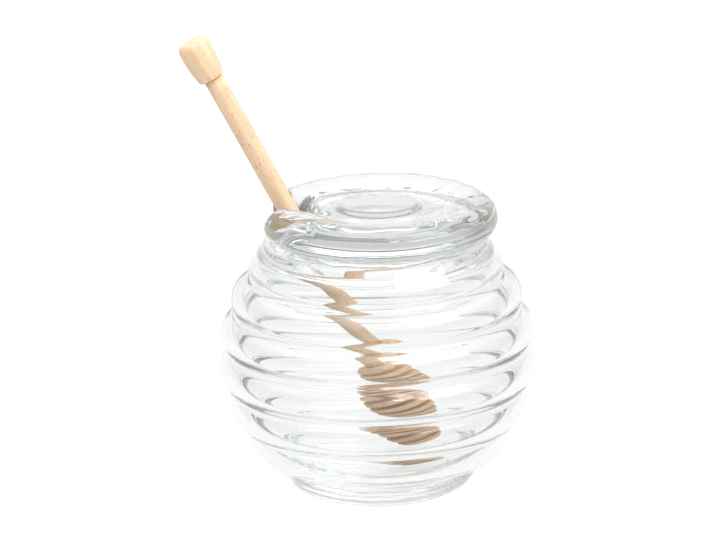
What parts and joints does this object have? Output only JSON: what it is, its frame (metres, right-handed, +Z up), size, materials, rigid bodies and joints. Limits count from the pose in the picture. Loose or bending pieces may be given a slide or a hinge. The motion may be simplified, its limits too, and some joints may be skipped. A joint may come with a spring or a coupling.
{
  "type": "honey pot",
  "caption": "Clear glass honey pot shaped like a ringed beehive, with a thick notched glass lid and a wooden dipper that leans through the notch.",
  "frame": {"origin": "centre of the pot's flat base, on the pot's axis", "axes": "+Z up along the pot's axis, +X to the right as seen from the front, the dipper leaning towards -X, +Y to the back"},
  "size_m": [0.1117, 0.102, 0.1504],
  "materials": {
    "clear_glass": "clear moulded glass, fire polished",
    "dipper_wood": "pale turned wood, sanded and unvarnished"
  },
  "bodies": {
    "root": {"pot": "clear_glass", "lid": "clear_glass", "dipper_head": "dipper_wood", "dipper_shaft": "dipper_wood", "dipper_knob": "dipper_wood"}
  },
  "joints": []
}
